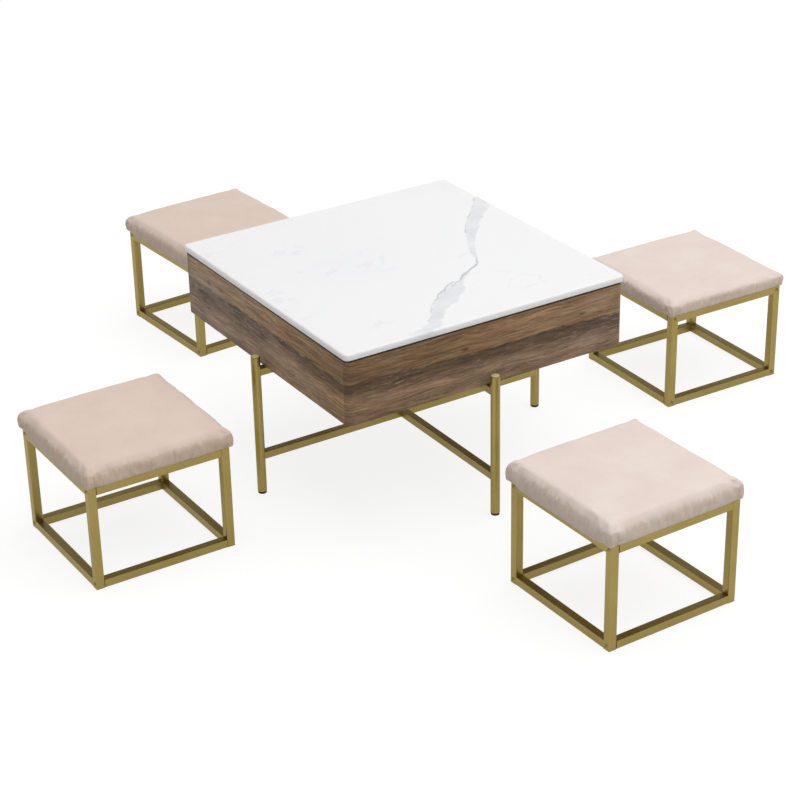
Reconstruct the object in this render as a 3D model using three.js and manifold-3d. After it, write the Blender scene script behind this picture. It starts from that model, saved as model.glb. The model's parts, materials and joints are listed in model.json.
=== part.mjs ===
import * as THREE from 'three';
import { mergeVertices } from 'three/addons/utils/BufferGeometryUtils.js';
import Module from 'manifold-3d';

// A square lift-top coffee table and the four cube ottomans that stand round it and park under it.
// Millimetres, +Z up, floor at z = 0. The table's front is towards -Y, and its top lifts that way.

// Clearances
const fitGap = 0.3; // between two pieces that bear on each other
const pinClearance = 0.3; // round a pin in its hole
const lidGap = 3; // shadow gap under the closed top
const overrun = 5; // how far a cutting solid runs past what it cuts

// Table top
const tableHeight = 499;
const slabOverhang = 2.5; // past the box, all round
const slabThickness = 15;
const slabCorner = 12;
const slabEdge = 1.5;

// Storage box under the top
const boxWidth = 745;
const boxHeight = 155;
const boxWall = 15;
const boxCorner = 15;
const boxFloor = 12;

// Legs: round tubes outside the middle of each side, closed on top, with a plastic foot below
const legDiameter = 22;
const legWall = 1.5;
const legStandoff = 10.5; // air between a leg and the box
const legLap = 32; // how far a leg stands up beside the box
const legCapThickness = 2;
const legCapEdge = 1.2;
const footHeight = 6;
const footInset = 0.6; // the foot is this much smaller than the tube, all round
const footEdge = 1.2;
const footStemLength = 18;

// Crossed square tubes between the legs
const crossTube = 19;
const crossEdge = 2;
const lowerCrossHeight = 90; // underside of the lower cross above the floor

// Lift mechanism, one at each side wall. Its depths are measured inwards from the wall.
const armLength = 260;
const armWidth = 22;
const armThickness = 4;
const frontPivotLead = 150; // in front of the table's middle
const pivotSpacing = 120;
const basePivotHeight = 69; // above the underside of the box
const topPivotDrop = 18; // below the underside of the top
const openAngle = 112; // degrees, of the arms above the +Y direction when the top is up
const plateThickness = 3;
const plateHeight = 52;
const plateDrop = 9; // middle of the base plate below the pivots
const plateEnd = 30; // from the front pivot and from the spring post to the plate's ends
const plateCorner = 10;
const armStandoff = 4.2; // base plate to arm
const bracketStandoff = 3; // arm to top bracket
const bracketEnd = 22; // from the outer pivots to the bracket's ends
const bracketDrop = 12; // from the pivots to the bracket's lower edge
const bracketFlange = 28;
const pinRadius = 4.7;
const pinHead = 8;
const pinHeadThickness = 1.5;
const pinCollar = 7;
const screwHole = 2.6;
const plateScrewRise = 14; // plate screws above and below the plate's middle
const lugRadius = 30; // spring stud from the front pivot
const springReach = 220; // spring post behind the front pivot
const springRadius = 8;
const studRadius = 4;
const studTip = 6; // stud and post run this far past the spring's axis

// Ottoman frames: two welded square-tube side frames and four bolted cross rails
const stoolWidth = 344;
const stoolHeight = 251;
const stoolTube = 20;
const stoolTubeWall = 1.2;
const stoolTubeEdge = 2;

// Ottoman seats: a board with a foam cushion wrapped over it
const boardInset = 7; // inside the frame, all round
const boardThickness = 12;
const boardCorner = 8;
const cushionOverhang = 8; // past the frame, all round
const cushionCorner = 24;
const cushionEdgeHeight = 34;
const cushionCrown = 9;
const cushionDrawIn = 3.5; // how far the sides pull in between the corners

// Where the ottomans stand: how far each middle is from the table's middle on its own side, how far
// it is shifted along that side, and how far it is turned, in degrees.
// The right one stands with its side frames to the front and back.
const leftStoolReach = 736.4;
const leftStoolShift = 7; // to the front
const leftStoolAngle = 0;
const frontStoolReach = 823.2;
const frontStoolShift = 35; // to the right
const frontStoolAngle = 1.2;
const rightStoolReach = 841.2;
const rightStoolShift = 30.4; // to the front
const rightStoolAngle = 88.9;
const backStoolReach = 916.9;
const backStoolShift = 9; // to the left
const backStoolAngle = 3.4;

// Facets
const roundSegments = 24;
const studSegments = 12;
const cornerSegments = 3; // half the facets of a quarter round
const edgeSegments = 1; // the same on a tube's small edges
const springSegments = 16;

// Heights and places that follow from the sizes above
const slabWidth = boxWidth + slabOverhang * 2;
const slabUnderside = tableHeight - slabThickness;
const boxTop = slabUnderside - lidGap;
const boxBottom = boxTop - boxHeight;
const boxInner = boxWidth / 2 - boxWall;
const legRadius = legDiameter / 2;
const legReach = boxWidth / 2 + legStandoff + legRadius; // from the table's middle to a leg's axis
const legTop = boxBottom + legLap;
const upperCrossHeight = boxBottom - fitGap - crossTube;
const boardWidth = stoolWidth - boardInset * 2;
const cushionWidth = stoolWidth + cushionOverhang * 2;
const quarterTurn = Math.PI / 2;

const finishes = {
  marble: { color: 0xf8f9fa, roughness: 0.22, metalness: 0 },
  woodGrain: { color: 0x6f5a4a, roughness: 0.6, metalness: 0 },
  board: { color: 0xb59a78, roughness: 0.8, metalness: 0 },
  gold: { color: 0x9a8648, roughness: 0.42, metalness: 0.8 },
  foot: { color: 0x151515, roughness: 0.55, metalness: 0 },
  liftSteel: { color: 0x2a2b2d, roughness: 0.5, metalness: 0.7 },
  springSteel: { color: 0xa8abae, roughness: 0.3, metalness: 0.9 },
  cushion: { color: 0xdccdbe, roughness: 0.9, metalness: 0 },
};

const wasm = await Module();
wasm.setup();

// Turns a closed geometry into a solid that can be joined and cut
function solidOf(geometry) {
  const bare = geometry.clone();
  bare.deleteAttribute('normal');
  bare.deleteAttribute('uv');
  const merged = mergeVertices(bare);
  return new wasm.Manifold(new wasm.Mesh({
    numProp: 3,
    vertProperties: new Float32Array(merged.attributes.position.array),
    triVerts: new Uint32Array(merged.index.array),
  }));
}

// Turns a solid back into a geometry
function geometryOf(solid) {
  const mesh = solid.getMesh();
  const geometry = new THREE.BufferGeometry();
  geometry.setAttribute('position', new THREE.BufferAttribute(mesh.vertProperties, 3));
  geometry.setIndex(new THREE.BufferAttribute(mesh.triVerts, 1));
  const flat = geometry.toNonIndexed();
  flat.computeVertexNormals();
  return flat;
}

function join(geometries) {
  const [first, ...others] = geometries.map(solidOf);
  return geometryOf(others.reduce((sum, next) => sum.add(next), first));
}

function cut(geometry, cutters) {
  return geometryOf(cutters.map(solidOf).reduce((rest, next) => rest.subtract(next), solidOf(geometry)));
}

function common(geometry, other) {
  return geometryOf(solidOf(geometry).intersect(solidOf(other)));
}

function addPiece(parent, name, geometry, finish) {
  const piece = new THREE.Mesh(geometry, new THREE.MeshStandardMaterial(finish));
  piece.name = name;
  parent.add(piece);
  return piece;
}

// A rectangle with rounded corners, centred on the origin
function roundedRectangle(width, depth, radius) {
  const x = width / 2 - radius;
  const y = depth / 2 - radius;
  const shape = new THREE.Shape();
  shape.absarc(x, y, radius, 0, Math.PI / 2, false);
  shape.absarc(-x, y, radius, Math.PI / 2, Math.PI, false);
  shape.absarc(-x, -y, radius, Math.PI, Math.PI * 1.5, false);
  shape.absarc(x, -y, radius, Math.PI * 1.5, Math.PI * 2, false);
  shape.closePath();
  return shape;
}

function circle(centre, radius) {
  const shape = new THREE.Shape();
  shape.absarc(centre.x, centre.y, radius, 0, Math.PI * 2, false);
  return shape;
}

// A bar with round ends between two points
function roundEndedBar(from, to, radius) {
  const turn = Math.atan2(to.y - from.y, to.x - from.x);
  const shape = new THREE.Shape();
  shape.absarc(to.x, to.y, radius, turn - Math.PI / 2, turn + Math.PI / 2, false);
  shape.absarc(from.x, from.y, radius, turn + Math.PI / 2, turn + Math.PI * 1.5, false);
  shape.closePath();
  return shape;
}

function extrude(shape, depth, curveSegments) {
  return new THREE.ExtrudeGeometry(shape, { depth, curveSegments, bevelEnabled: false });
}

// A box between two corners
function block(low, high) {
  const size = new THREE.Vector3().subVectors(high, low);
  const middle = new THREE.Vector3().addVectors(low, high).divideScalar(2);
  return new THREE.BoxGeometry(size.x, size.y, size.z).translate(middle.x, middle.y, middle.z);
}

// A flat board lying on the height z
function board(width, depth, radius, thickness, z) {
  return extrude(roundedRectangle(width, depth, radius), thickness, cornerSegments).translate(0, 0, z);
}

// A turned piece standing on the Z axis, from a profile of radii and heights
function turned(profile, segments) {
  const points = profile.map(([radius, height]) => new THREE.Vector2(radius, height));
  return new THREE.LatheGeometry(points, segments).rotateX(quarterTurn);
}

// A length of square tube along Z, filled or with its bore open at both ends
function squareTube(side, edge, length, wall) {
  const section = roundedRectangle(side, side, edge);
  if (wall) {
    const bore = side - wall * 2;
    section.holes.push(roundedRectangle(bore, bore, Math.max(edge - wall, wall / 2)));
  }
  return extrude(section, length, edgeSegments).translate(0, 0, -length / 2);
}

// The table's top: a slab with small rounded corners and softened edges
function topSlab() {
  const outline = roundedRectangle(slabWidth, slabWidth, slabCorner);
  const slab = new THREE.ExtrudeGeometry(outline, {
    depth: slabThickness - slabEdge * 2,
    curveSegments: cornerSegments,
    bevelThickness: slabEdge,
    bevelSize: slabEdge,
    bevelOffset: -slabEdge,
    bevelSegments: 2,
  });
  return slab.translate(0, 0, slabUnderside + slabEdge);
}

// The box's walls: the front and back run through to the rounded corners, the sides fit between them
function boxWalls() {
  const whole = board(boxWidth, boxWidth, boxCorner, boxHeight, boxBottom);
  const outer = boxWidth / 2 + overrun;
  const sideEnd = boxInner - fitGap;
  const low = boxBottom - overrun;
  const high = boxTop + overrun;
  const strip = (x0, y0, x1, y1) => block(new THREE.Vector3(x0, y0, low), new THREE.Vector3(x1, y1, high));
  return {
    front: common(whole, strip(-outer, -outer, outer, -boxInner)),
    back: common(whole, strip(-outer, boxInner, outer, outer)),
    left: common(whole, strip(-outer, -sideEnd, -boxInner, sideEnd)),
    right: common(whole, strip(boxInner, -sideEnd, outer, sideEnd)),
  };
}

function leg() {
  const inner = legRadius - legWall;
  return turned([
    [0, legTop - legCapThickness],
    [inner, legTop - legCapThickness],
    [inner, footHeight + fitGap],
    [legRadius, footHeight + fitGap],
    [legRadius, legTop - legCapEdge],
    [legRadius - legCapEdge, legTop],
    [0, legTop],
  ], roundSegments);
}

// A foot: a disc on the floor with a stem that plugs into the leg
function foot() {
  const radius = legRadius - footInset;
  const stem = legRadius - legWall - fitGap;
  return turned([
    [0, 0],
    [radius - footEdge, 0],
    [radius, footEdge],
    [radius, footHeight],
    [stem, footHeight],
    [stem, footHeight + footStemLength - footEdge],
    [stem - footEdge, footHeight + footStemLength],
    [0, footHeight + footStemLength],
  ], roundSegments);
}

const legPlaces = {
  front: [0, -legReach],
  back: [0, legReach],
  left: [-legReach, 0],
  right: [legReach, 0],
};

// Two square tubes welded into a cross, their ends hollowed to fit the round legs
function cross(underside) {
  const length = legReach * 2;
  const z = underside + crossTube / 2;
  const alongX = squareTube(crossTube, crossEdge, length).rotateY(quarterTurn).translate(0, 0, z);
  const alongY = squareTube(crossTube, crossEdge, length).rotateX(quarterTurn).translate(0, 0, z);
  const legCuts = Object.values(legPlaces).map(([x, y]) => {
    const centre = new THREE.Vector2(x, y);
    const cutter = extrude(circle(centre, legRadius + fitGap), crossTube + overrun * 2, roundSegments / 2);
    return cutter.translate(0, 0, underside - overrun);
  });
  return cut(join([alongX, alongY]), legCuts);
}

const table = new THREE.Group();
addPiece(table, 'table_top', topSlab(), finishes.marble);
for (const [name, wall] of Object.entries(boxWalls())) {
  addPiece(table, `box_${name}_panel`, wall, finishes.woodGrain);
}
const floorSide = (boxInner - fitGap) * 2;
addPiece(table, 'box_floor', board(floorSide, floorSide, slabEdge, boxFloor, boxBottom), finishes.woodGrain);
for (const [name, [x, y]] of Object.entries(legPlaces)) {
  addPiece(table, `${name}_leg`, leg(), finishes.gold).position.set(x, y, 0);
  addPiece(table, `${name}_foot`, foot(), finishes.foot).position.set(x, y, 0);
}
addPiece(table, 'lower_cross', cross(lowerCrossHeight), finishes.gold);
addPiece(table, 'upper_cross', cross(upperCrossHeight), finishes.gold);

// Lift mechanism. Its outlines are drawn looking along X: their x runs along the table's Y,
// and their y runs up.
const basePivotZ = boxBottom + basePivotHeight;
const topPivotZ = slabUnderside - topPivotDrop;
const restTurn = Math.asin((topPivotZ - basePivotZ) / armLength);
const liftTurn = THREE.MathUtils.degToRad(openAngle) - restTurn;
const armRun = armLength * Math.cos(restTurn);
const frontPivot = new THREE.Vector2(-frontPivotLead, basePivotZ);
const rearPivot = new THREE.Vector2(frontPivot.x + pivotSpacing, basePivotZ);
const frontTopPivot = new THREE.Vector2(frontPivot.x + armRun, topPivotZ);
const rearTopPivot = new THREE.Vector2(rearPivot.x + armRun, topPivotZ);

// The spring's stud swings evenly to both sides of the lowest point below the front pivot,
// so the spring lies level with the top down and with the top up
const springDrop = lugRadius * Math.cos(liftTurn / 2);
const studLead = lugRadius * Math.sin(liftTurn / 2);
const springStud = new THREE.Vector2(frontPivot.x - studLead, basePivotZ - springDrop);
const springPost = new THREE.Vector2(frontPivot.x + springReach, basePivotZ - springDrop);

// Depths from the side wall
const plateFar = fitGap + plateThickness;
const armNear = plateFar + armStandoff;
const armFar = armNear + armThickness;
const bracketNear = armFar + bracketStandoff;
const bracketFar = bracketNear + plateThickness;
const springDepth = bracketNear + springRadius;
const studFar = springDepth + studTip;

// A layer of the mechanism: an outline given thickness between two depths from a side wall.
// The side is -1 for the left wall and 1 for the right one.
function layer(side, outline, near, far, curveSegments = roundSegments / 4) {
  const along = new THREE.Matrix4().makeBasis(
    new THREE.Vector3(0, 1, 0),
    new THREE.Vector3(0, 0, 1),
    new THREE.Vector3(1, 0, 0),
  );
  const start = side < 0 ? near - boxInner : boxInner - far;
  return extrude(outline, far - near, curveSegments).applyMatrix4(along).translate(start, 0, 0);
}

function rod(side, centre, radius, near, far, segments = studSegments) {
  return layer(side, circle(centre, radius), near, far, segments / 2);
}

// A pivot pin: a collar that spaces it, the pin itself and the riveted head that keeps the arm on.
// It stands in its plate at the depth base, and the arm turns between collarEnd and headStart.
function pivotPin(side, pivot, base, collarEnd, headStart, headEnd) {
  const span = (one, other) => [Math.min(one, other), Math.max(one, other)];
  return join([
    rod(side, pivot, pinCollar, ...span(base, collarEnd)),
    rod(side, pivot, pinRadius, ...span(base, headEnd), roundSegments),
    rod(side, pivot, pinHead, ...span(headStart, headEnd)),
  ]);
}

// A pressed steel plate screwed to the side wall, with two riveted pivot pins and the spring's post
function basePlate(side) {
  const front = springStud.x - plateEnd;
  const back = springPost.x + plateEnd;
  const height = basePivotZ - plateDrop;
  const outline = roundedRectangle(back - front, plateHeight, plateCorner);
  const plate = layer(side, outline, fitGap, plateFar).translate(0, (front + back) / 2, height);
  const inPlate = fitGap + plateThickness / 2;
  const headStart = armFar + fitGap;
  const pins = [frontPivot, rearPivot].map((pivot) => (
    pivotPin(side, pivot, inPlate, armNear - fitGap, headStart, headStart + pinHeadThickness)
  ));
  const screwPlaces = [(frontPivot.x + rearPivot.x) / 2, (rearPivot.x + springPost.x) / 2];
  const holes = screwPlaces.flatMap((y) => [-plateScrewRise, plateScrewRise].map((rise) => {
    const centre = new THREE.Vector2(y, height + rise);
    return rod(side, centre, screwHole, fitGap - overrun, plateFar + overrun);
  }));
  const post = rod(side, springPost, studRadius, inPlate, studFar);
  return cut(join([plate, ...pins, post]), holes);
}

// A flat steel arm with a hole at each end for the pins
function rearArm(side) {
  const bar = layer(side, roundEndedBar(rearPivot, rearTopPivot, armWidth / 2), armNear, armFar);
  return cut(bar, armHoles(side, [rearPivot, rearTopPivot]));
}

// The front arm also has a short tail that carries the spring's stud
function frontArm(side) {
  const bar = layer(side, roundEndedBar(frontPivot, frontTopPivot, armWidth / 2), armNear, armFar);
  const tail = layer(side, roundEndedBar(frontPivot, springStud, armWidth / 2), armNear, armFar);
  const stud = rod(side, springStud, studRadius, armNear + armThickness / 2, studFar);
  return cut(join([bar, tail, stud]), armHoles(side, [frontPivot, frontTopPivot]));
}

function armHoles(side, pivots) {
  return pivots.map((pivot) => (
    rod(side, pivot, pinRadius + pinClearance, armNear - overrun, armFar + overrun, roundSegments)
  ));
}

// A steel angle screwed under the top, with two pins that face the wall
function topBracket(side) {
  const front = frontTopPivot.x - bracketEnd;
  const back = rearTopPivot.x + bracketEnd;
  const top = slabUnderside - fitGap;
  const rectangle = (low) => new THREE.Shape([
    new THREE.Vector2(front, low),
    new THREE.Vector2(back, low),
    new THREE.Vector2(back, top),
    new THREE.Vector2(front, top),
  ]);
  const upright = layer(side, rectangle(topPivotZ - bracketDrop), bracketNear, bracketFar);
  const flat = layer(side, rectangle(top - plateThickness), bracketNear, bracketNear + bracketFlange);
  const inBracket = bracketNear + plateThickness / 2;
  const headStart = armNear - fitGap;
  const pins = [frontTopPivot, rearTopPivot].map((pivot) => (
    pivotPin(side, pivot, inBracket, armFar + fitGap, headStart, headStart - pinHeadThickness)
  ));
  const screwX = side * (boxInner - (bracketFar + bracketNear + bracketFlange) / 2);
  const holes = [front + bracketEnd, (front + back) / 2, back - bracketEnd].map((y) => {
    const centre = new THREE.Vector2(screwX, y);
    const hole = extrude(circle(centre, screwHole), plateThickness + overrun * 2, studSegments / 2);
    return hole.translate(0, 0, top - plateThickness - overrun);
  });
  return cut(join([upright, flat, ...pins]), holes);
}

// The room that the wound spring takes between the stud and the post
function springBody(side) {
  const front = springStud.x + studRadius + fitGap;
  const back = springPost.x - studRadius - fitGap;
  const body = new THREE.CylinderGeometry(springRadius, springRadius, back - front, springSegments);
  return body.translate(side * (boxInner - springDepth), (front + back) / 2, springPost.y);
}

for (const [name, side] of [['left', -1], ['right', 1]]) {
  addPiece(table, `${name}_lift_base_plate`, basePlate(side), finishes.liftSteel);
  addPiece(table, `${name}_lift_front_arm`, frontArm(side), finishes.liftSteel);
  addPiece(table, `${name}_lift_rear_arm`, rearArm(side), finishes.liftSteel);
  addPiece(table, `${name}_lift_top_bracket`, topBracket(side), finishes.liftSteel);
  addPiece(table, `${name}_lift_spring`, springBody(side), finishes.springSteel);
}

// A welded side frame: two posts, with a rail between them at the top and at the floor
function sideFrame() {
  const post = stoolWidth / 2 - stoolTube / 2;
  const railLength = stoolWidth - stoolTube;
  const posts = [-post, post].map((y) => (
    squareTube(stoolTube, stoolTubeEdge, stoolHeight).translate(0, y, stoolHeight / 2)
  ));
  const rails = [stoolTube / 2, stoolHeight - stoolTube / 2].map((z) => (
    squareTube(stoolTube, stoolTubeEdge, railLength).rotateX(quarterTurn).translate(0, 0, z)
  ));
  return join([...posts, ...rails]);
}

// The cushion's rings, from its lower edge over the shoulder to the middle. Each gives the share of the half
// side that it reaches, of the edge height that it stands at, of the draw-in, and of the crown that it takes.
const cushionRingShares = [
  [0.965, 0, 1, 0],
  [0.988, 0.09, 0.9, 0],
  [1, 0.34, 0.5, 0],
  [0.998, 0.62, 0.3, 0],
  [0.98, 0.86, 0.3, 0],
  [0.945, 0.97, 0.3, 0.6],
  [0.88, 1, 0.2, 1],
  [0.74, 1, 0, 1],
  [0.52, 1, 0, 1],
  [0.27, 1, 0, 1],
];
const cushionSideShares = [-0.86, -0.62, -0.32, 0, 0.32, 0.62, 0.86];
const cushionCornerSteps = 4;

// Points round one ring, anticlockwise from above
function cushionRing([reachShare, heightShare, drawShare, crownShare]) {
  const half = cushionWidth / 2;
  const radius = cushionCorner * reachShare;
  const straight = half * reachShare - radius;
  const points = [];
  for (let side = 0; side < 4; side += 1) {
    const turn = side * Math.PI / 2;
    const middle = new THREE.Vector2();
    const place = (outward, along) => new THREE.Vector2(outward, along).rotateAround(middle, turn);
    for (const share of cushionSideShares) {
      const drawn = cushionDrawIn * drawShare * (1 - share * share);
      points.push(place(half * reachShare - drawn, straight * share));
    }
    for (let step = 0; step <= cushionCornerSteps; step += 1) {
      const angle = step / cushionCornerSteps * Math.PI / 2;
      points.push(place(straight + radius * Math.cos(angle), straight + radius * Math.sin(angle)));
    }
  }
  return points.map((point) => {
    const swell = (1 - (point.x / half) ** 2) * (1 - (point.y / half) ** 2);
    const z = cushionEdgeHeight * heightShare + cushionCrown * crownShare * Math.max(swell, 0);
    return [point.x, point.y, z];
  });
}

// A crowned foam cushion with softly drawn-in sides and a flat underside
function cushionForm() {
  const rings = cushionRingShares.map(cushionRing);
  const count = rings[0].length;
  const points = [...rings.flat(), [0, 0, 0], [0, 0, cushionEdgeHeight + cushionCrown]];
  const bottom = points.length - 2;
  const top = points.length - 1;
  const faces = [];
  for (let i = 0; i < count; i += 1) {
    const next = (i + 1) % count;
    for (let ring = 0; ring + 1 < rings.length; ring += 1) {
      const low = ring * count;
      const high = low + count;
      faces.push(low + i, low + next, high + next, low + i, high + next, high + i);
    }
    const last = (rings.length - 1) * count;
    faces.push(bottom, next, i, top, last + i, last + next);
  }
  const geometry = new THREE.BufferGeometry();
  geometry.setAttribute('position', new THREE.Float32BufferAttribute(points.flat(), 3));
  geometry.setIndex(faces);
  return geometry;
}

// The cushion sits over its board, which fills a pocket in its underside
function cushion() {
  const pocketSide = boardWidth + fitGap * 2;
  const pocketDepth = boardThickness + fitGap + overrun;
  const pocket = board(pocketSide, pocketSide, boardCorner + fitGap, pocketDepth, -overrun);
  return cut(cushionForm(), [pocket]).translate(0, 0, stoolHeight + fitGap);
}

function addStool(parent, name, x, y, turnDegrees) {
  const stool = new THREE.Group();
  stool.position.set(x, y, 0);
  stool.rotation.z = THREE.MathUtils.degToRad(turnDegrees);
  parent.add(stool);
  const post = stoolWidth / 2 - stoolTube / 2;
  addPiece(stool, `${name}_left_frame`, sideFrame(), finishes.gold).position.x = -post;
  addPiece(stool, `${name}_right_frame`, sideFrame(), finishes.gold).position.x = post;
  const railLength = stoolWidth - stoolTube * 2 - fitGap * 2;
  const heights = { bottom: stoolTube / 2, top: stoolHeight - stoolTube / 2 };
  for (const [row, railY] of [['front', -post], ['back', post]]) {
    for (const [level, z] of Object.entries(heights)) {
      const rail = squareTube(stoolTube, stoolTubeEdge, railLength, stoolTubeWall).rotateY(quarterTurn);
      addPiece(stool, `${name}_${row}_${level}_rail`, rail, finishes.gold).position.set(0, railY, z);
    }
  }
  const seat = board(boardWidth, boardWidth, boardCorner, boardThickness, stoolHeight + fitGap);
  addPiece(stool, `${name}_seat_board`, seat, finishes.board);
  addPiece(stool, `${name}_cushion`, cushion(), finishes.cushion);
}

const set = new THREE.Group();
set.add(table);
addStool(set, 'left_stool', -leftStoolReach, -leftStoolShift, leftStoolAngle);
addStool(set, 'front_stool', frontStoolShift, -frontStoolReach, frontStoolAngle);
addStool(set, 'right_stool', rightStoolReach, -rightStoolShift, rightStoolAngle);
addStool(set, 'back_stool', -backStoolShift, backStoolReach, backStoolAngle);

// The origin is on the floor, under the middle of the whole set
const setMiddle = new THREE.Box3().setFromObject(set, true).getCenter(new THREE.Vector3());
set.position.set(-setMiddle.x, -setMiddle.y, 0);

const group = new THREE.Group();
group.add(set);

export default group;
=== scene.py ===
"""A square lift-top coffee table with a storage box, and its four cube ottomans."""
import json
import math

import bmesh
import bpy
from mathutils import Matrix, Vector, noise


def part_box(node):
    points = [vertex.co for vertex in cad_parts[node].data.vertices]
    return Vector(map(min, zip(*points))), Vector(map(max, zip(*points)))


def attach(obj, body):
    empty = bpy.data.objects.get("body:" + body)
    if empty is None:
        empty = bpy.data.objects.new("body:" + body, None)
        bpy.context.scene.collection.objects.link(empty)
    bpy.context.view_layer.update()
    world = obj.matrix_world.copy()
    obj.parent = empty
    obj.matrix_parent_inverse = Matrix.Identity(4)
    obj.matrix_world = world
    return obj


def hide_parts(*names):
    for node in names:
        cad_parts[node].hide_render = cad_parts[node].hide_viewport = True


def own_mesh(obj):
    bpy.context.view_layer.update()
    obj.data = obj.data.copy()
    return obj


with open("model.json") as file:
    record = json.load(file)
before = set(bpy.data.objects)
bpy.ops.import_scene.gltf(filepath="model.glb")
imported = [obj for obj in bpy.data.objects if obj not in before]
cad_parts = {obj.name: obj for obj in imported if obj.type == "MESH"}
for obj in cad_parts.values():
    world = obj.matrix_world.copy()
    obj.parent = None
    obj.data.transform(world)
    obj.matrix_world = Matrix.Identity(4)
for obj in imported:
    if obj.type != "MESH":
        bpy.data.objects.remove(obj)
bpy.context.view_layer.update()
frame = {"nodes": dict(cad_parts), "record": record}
nodes = frame["nodes"]
body_of = {node: body for body, members in frame["record"]["behaviour"]["bodies"].items() for node in members}

# Storage box: four boards faced with a printed, weathered plank pattern that runs round the box.
# The front and back boards run through to the rounded upright corners, the side boards fit
# between them, and the floor board lies inside on the upper cross.


class Finish:
    """A surface finish: one material, and the nodes that make its pattern."""

    def __init__(self, name, **values):
        self.material = bpy.data.materials.new(name)
        self.material.use_nodes = True
        self.tree = self.material.node_tree
        self.tree.nodes.clear()
        self.shader = self.tree.nodes.new("ShaderNodeBsdfPrincipled")
        output = self.tree.nodes.new("ShaderNodeOutputMaterial")
        self.tree.links.new(self.shader.outputs[0], output.inputs[0])
        for socket, value in values.items():
            self.give(self.shader.inputs[socket.replace("_", " ")], value)

    def give(self, socket, value):
        if isinstance(value, bpy.types.NodeSocket):
            self.tree.links.new(value, socket)
        else:
            socket.default_value = value

    def set(self, name, value):
        self.give(self.shader.inputs[name], value)

    def place(self, shift=(0, 0, 0), scale=(1, 1, 1)):
        """Where on the piece a point lies, shifted and stretched."""
        coordinates = self.tree.nodes.new("ShaderNodeTexCoord")
        moved = self.tree.nodes.new("ShaderNodeVectorMath")
        moved.operation = "ADD"
        self.give(moved.inputs[0], coordinates.outputs["Object"])
        moved.inputs[1].default_value = shift
        return self.stretch(moved.outputs[0], scale)

    def stretch(self, vector, scale):
        node = self.tree.nodes.new("ShaderNodeVectorMath")
        node.operation = "MULTIPLY"
        self.give(node.inputs[0], vector)
        node.inputs[1].default_value = scale
        return node.outputs[0]

    def parts(self, vector):
        node = self.tree.nodes.new("ShaderNodeSeparateXYZ")
        self.give(node.inputs[0], vector)
        return node.outputs

    def joined(self, x, y, z):
        node = self.tree.nodes.new("ShaderNodeCombineXYZ")
        for socket, value in zip(node.inputs, (x, y, z)):
            self.give(socket, value)
        return node.outputs[0]

    def apart(self, vector, spot, reach):
        """How far a point lies from a spot, as a share of a reach along each way."""
        away = self.tree.nodes.new("ShaderNodeVectorMath")
        away.operation = "SUBTRACT"
        self.give(away.inputs[0], vector)
        away.inputs[1].default_value = spot
        length = self.tree.nodes.new("ShaderNodeVectorMath")
        length.operation = "LENGTH"
        self.give(length.inputs[0], self.stretch(away.outputs[0], [1 / part for part in reach]))
        return length.outputs["Value"]

    def sum(self, operation, first, second=0.0, third=0.0):
        node = self.tree.nodes.new("ShaderNodeMath")
        node.operation = operation
        for socket, value in zip(node.inputs, (first, second, third)):
            self.give(socket, value)
        return node.outputs[0]

    def speckle(self, vector, scale=1.0, detail=2.0, roughness=0.5, distortion=0.0):
        node = self.tree.nodes.new("ShaderNodeTexNoise")
        for name, value in (("Vector", vector), ("Scale", scale), ("Detail", detail),
                            ("Roughness", roughness), ("Distortion", distortion)):
            self.give(node.inputs[name], value)
        return node.outputs[0]

    def spread(self, value, low, high, to_low=0.0, to_high=1.0, smooth=False):
        node = self.tree.nodes.new("ShaderNodeMapRange")
        node.interpolation_type = "SMOOTHSTEP" if smooth else "LINEAR"
        for socket, number in zip(node.inputs, (value, low, high, to_low, to_high)):
            self.give(socket, number)
        return node.outputs[0]

    def curve(self, value, points):
        """A drawn curve through (place, height) points, both from 0 to 1."""
        node = self.tree.nodes.new("ShaderNodeFloatCurve")
        line = node.mapping.curves[0]
        line.points[0].location = points[0]
        line.points[1].location = points[-1]
        for point in points[1:-1]:
            line.points.new(*point)
        node.mapping.update()
        self.give(node.inputs["Value"], value)
        return node.outputs[0]

    def mixed(self, share, first, second, way="MIX"):
        node = self.tree.nodes.new("ShaderNodeMix")
        node.data_type = "RGBA"
        node.blend_type = way
        for socket, value in ((node.inputs[0], share), (node.inputs[6], first), (node.inputs[7], second)):
            self.give(socket, value)
        return node.outputs[2]

    def darkened(self, share, base):
        """The colour taken down to black by that share."""
        return self.mixed(share, base, (0, 0, 0, 1))

    def centred(self, value):
        return self.sum("SUBTRACT", value, 0.5)

    def raised(self, height, distance, strength=1.0):
        """Bump of that depth in metres."""
        node = self.tree.nodes.new("ShaderNodeBump")
        for name, value in (("Strength", strength), ("Distance", distance), ("Height", height)):
            self.give(node.inputs[name], value)
        self.give(self.shader.inputs["Normal"], node.outputs[0])


def colour(red, green, blue):
    """A colour as a paint chart gives it, 0 to 255, in the light that the shader works in."""
    shares = [part / 255 for part in (red, green, blue)]
    return [s / 12.92 if s <= 0.04045 else ((s + 0.055) / 1.055) ** 2.4 for s in shares] + [1.0]


def piece(name, form, finish, slot, *stands_for, body=None):
    """Makes an object of a form, gives it its finish, and sets it in place of CAD nodes."""
    if isinstance(form, bmesh.types.BMesh):
        mesh = bpy.data.meshes.new(name)
        form.to_mesh(mesh)
        form.free()
        form = mesh
    made = bpy.data.objects.new(name, form)
    bpy.context.scene.collection.objects.link(made)
    form.materials.clear()
    form.materials.append(finish.material)
    if stands_for:
        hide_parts(*stands_for)
    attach(made, body or body_of[stands_for[0]])
    return made


def finish_node(name, finish):
    """A CAD node that keeps its shape and gets its real finish."""
    mesh = nodes[name].data
    mesh.materials.clear()
    mesh.materials.append(finish.material)


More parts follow.
